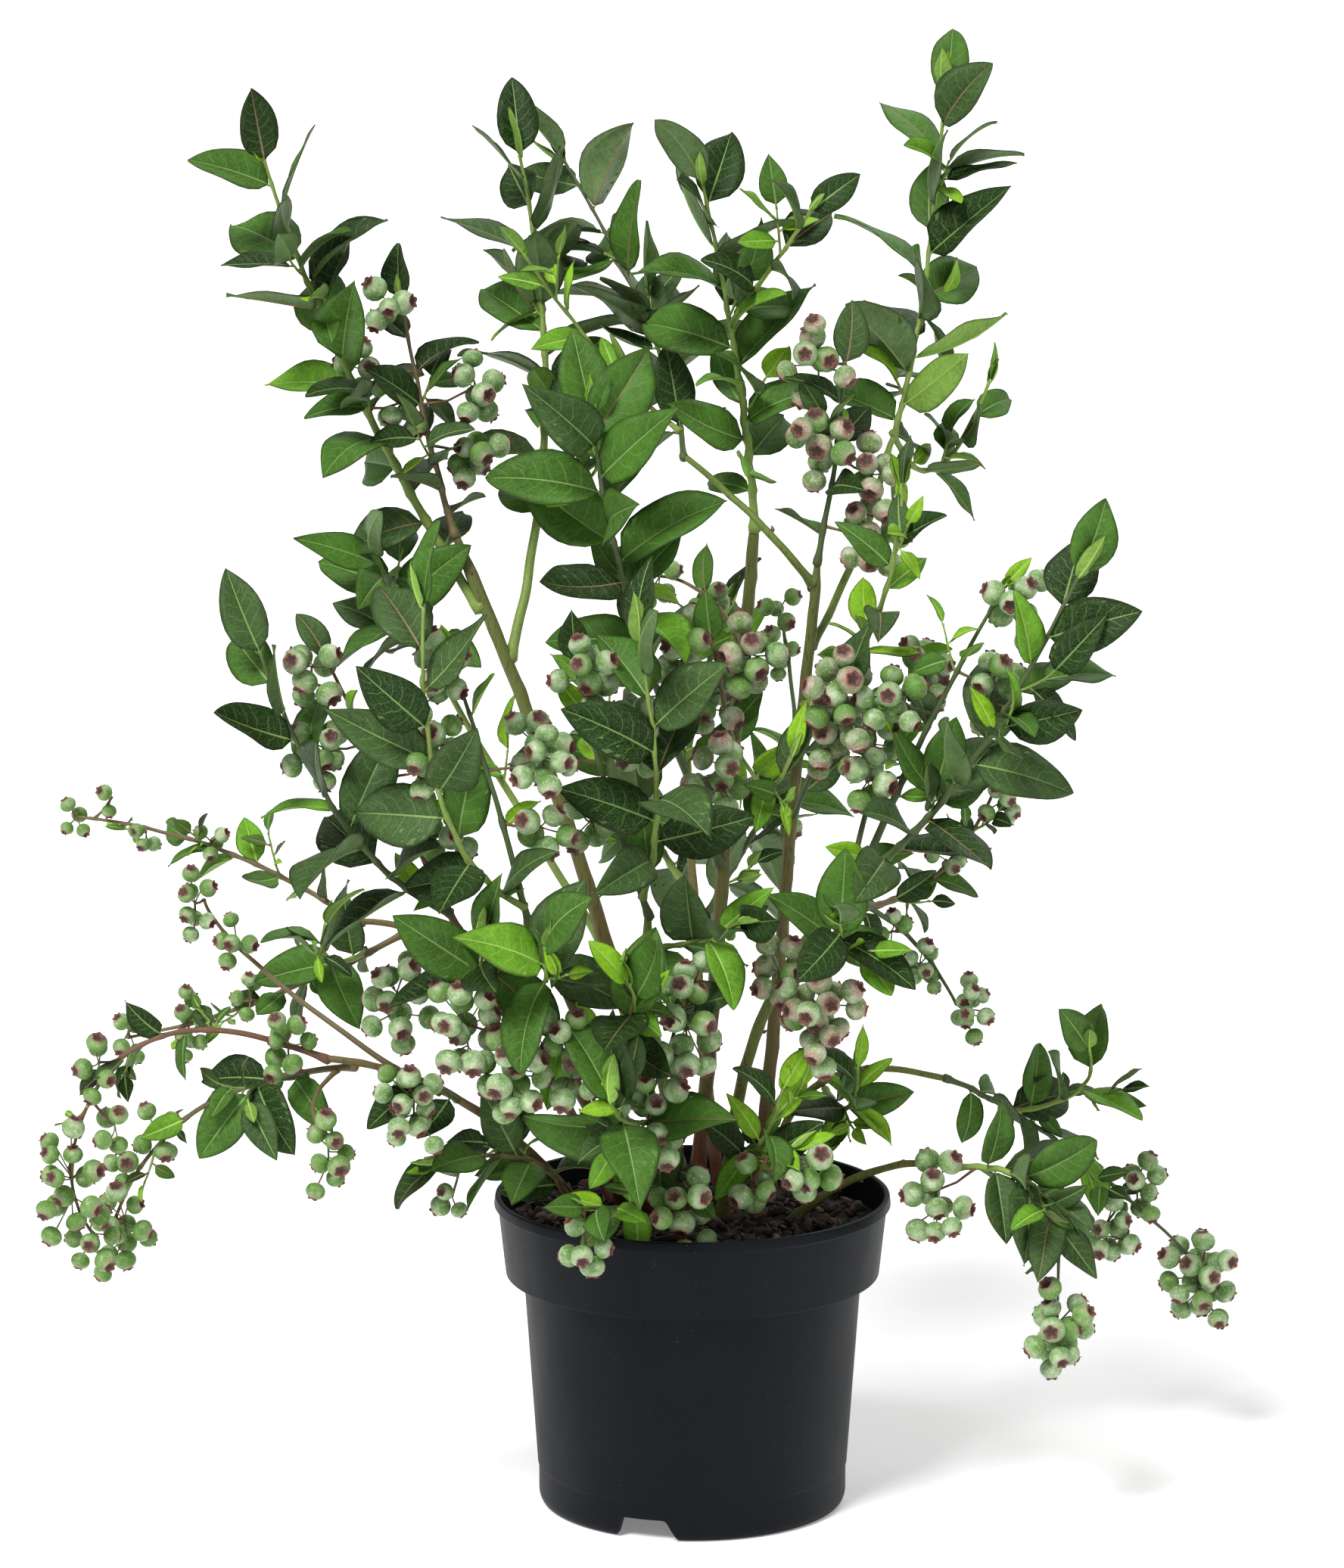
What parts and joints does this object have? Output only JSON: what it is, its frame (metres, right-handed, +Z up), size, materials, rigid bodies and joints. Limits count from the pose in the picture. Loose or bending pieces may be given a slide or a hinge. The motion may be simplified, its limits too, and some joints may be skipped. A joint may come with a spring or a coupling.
{
  "type": "potted blueberry bush",
  "caption": "Highbush blueberry in fruit in a round black nursery pot: upright leafy canes over low arching boughs hung with bunches of pale unripe berries.",
  "frame": {"origin": "middle of the pot's flat underside, on the floor", "axes": "+Z up, +X to the viewer's right in the picture, -Y towards the viewer"},
  "size_m": [0.6753, 0.5043, 0.837],
  "materials": {
    "pot": "finely textured matt black",
    "soil": "rough",
    "bark": "thin brown bark, green towards the tips",
    "foliage": "waxy green leaves, pale bloom on the berries"
  },
  "bodies": {
    "root": {"nursery_pot": "pot", "potting_mix": "soil", "cane_left": "bark", "cane_centre": "bark", "cane_right": "bark", "cane_right_low": "bark", "cane_left_low": "bark", "cane_mid_left": "bark", "cane_mid": "bark", "cane_back": "bark", "bough_left_upper": "bark", "bough_left_arch": "bark", "bough_right_upper": "bark", "bough_right_low": "bark", "bough_tall": "bark", "bough_upper_centre": "bark", "crown_left": "foliage", "crown_left_fruit": "foliage", "crown_mid_left": "foliage", "crown_back": "foliage", "crown_centre": "foliage", "crown_right_fruit": "foliage", "crown_tall": "foliage", "crown_young": "foliage", "centre_leafy": "foliage", "left_whorl": "foliage", "left_fruiting": "foliage", "mid_left_fruiting": "foliage", "mid_fruiting": "foliage", "right_fruiting": "foliage", "left_upper_arch": "foliage", "left_mid_arch": "foliage", "left_long_arch": "foliage", "left_drop": "foliage", "left_rise": "foliage", "right_upper_arch": "foliage", "right_low_arch": "foliage", "right_thin": "foliage", "centre_fruit_back": "foliage", "centre_fruit": "foliage", "right_fruit_back": "foliage", "right_fruit": "foliage", "right_fruit_mid": "foliage", "low_left_fruit": "foliage", "low_left_out": "foliage", "low_left_under": "foliage", "low_left_leafy": "foliage", "low_mid_fruit": "foliage", "mid_left_whorl": "foliage", "centre_low_fruit": "foliage", "front_whorl": "foliage", "centre_whorl": "foliage", "right_low_fruit": "foliage", "right_whorl": "foliage", "rim_left": "foliage", "rim_right": "foliage", "right_low_leafy": "foliage", "back_left": "foliage", "back_top": "foliage", "back_right": "foliage"}
  },
  "joints": []
}
